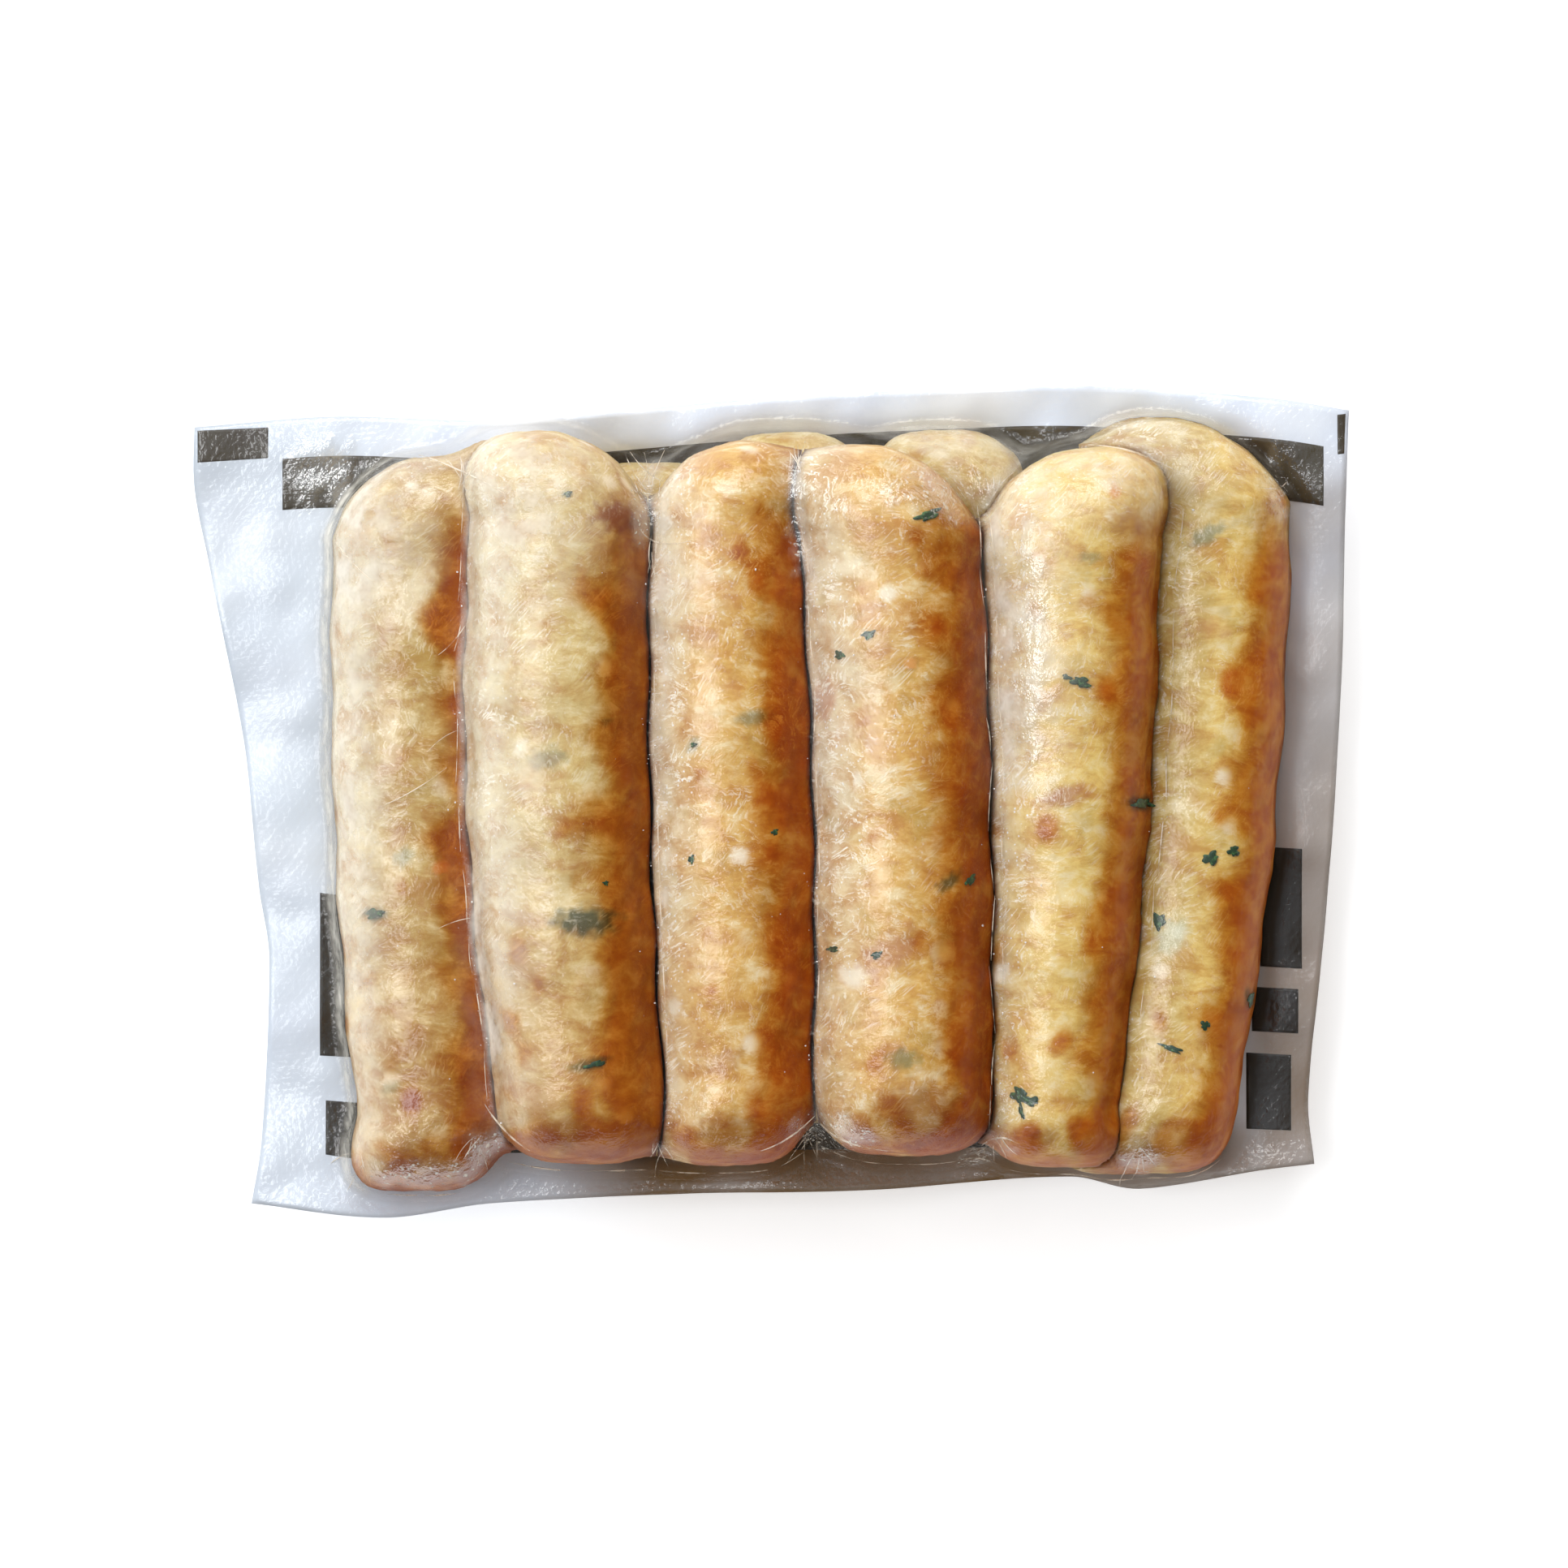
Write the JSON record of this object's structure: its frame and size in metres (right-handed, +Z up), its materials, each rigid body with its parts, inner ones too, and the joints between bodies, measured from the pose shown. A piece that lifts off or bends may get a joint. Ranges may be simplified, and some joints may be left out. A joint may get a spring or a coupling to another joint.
{
  "type": "vacuum pack of sausages",
  "caption": "Vacuum pack of raw herb sausages, laid side by side under a clear film drawn tight over them and sealed all round to a white printed back film.",
  "frame": {"origin": "on the surface that the pack lies on, under the middle of its outline", "axes": "+X along the pack's long side, +Y towards the edge with the printed bar, +Z up, out of the clear side"},
  "size_m": [0.2034, 0.1463, 0.0538],
  "materials": {
    "printed_film": "white laminated film with plain dark grey-brown printed fields",
    "raw_sausage": "cream to golden raw meat in casing, moist and mottled, under clear film",
    "clear_film": "clear glossy vacuum film with fine creases",
    "herbs": "dark green chopped leaves in the meat"
  },
  "bodies": {
    "root": {"back_film": "printed_film", "filled_front_film": "raw_sausage"}
  },
  "joints": []
}
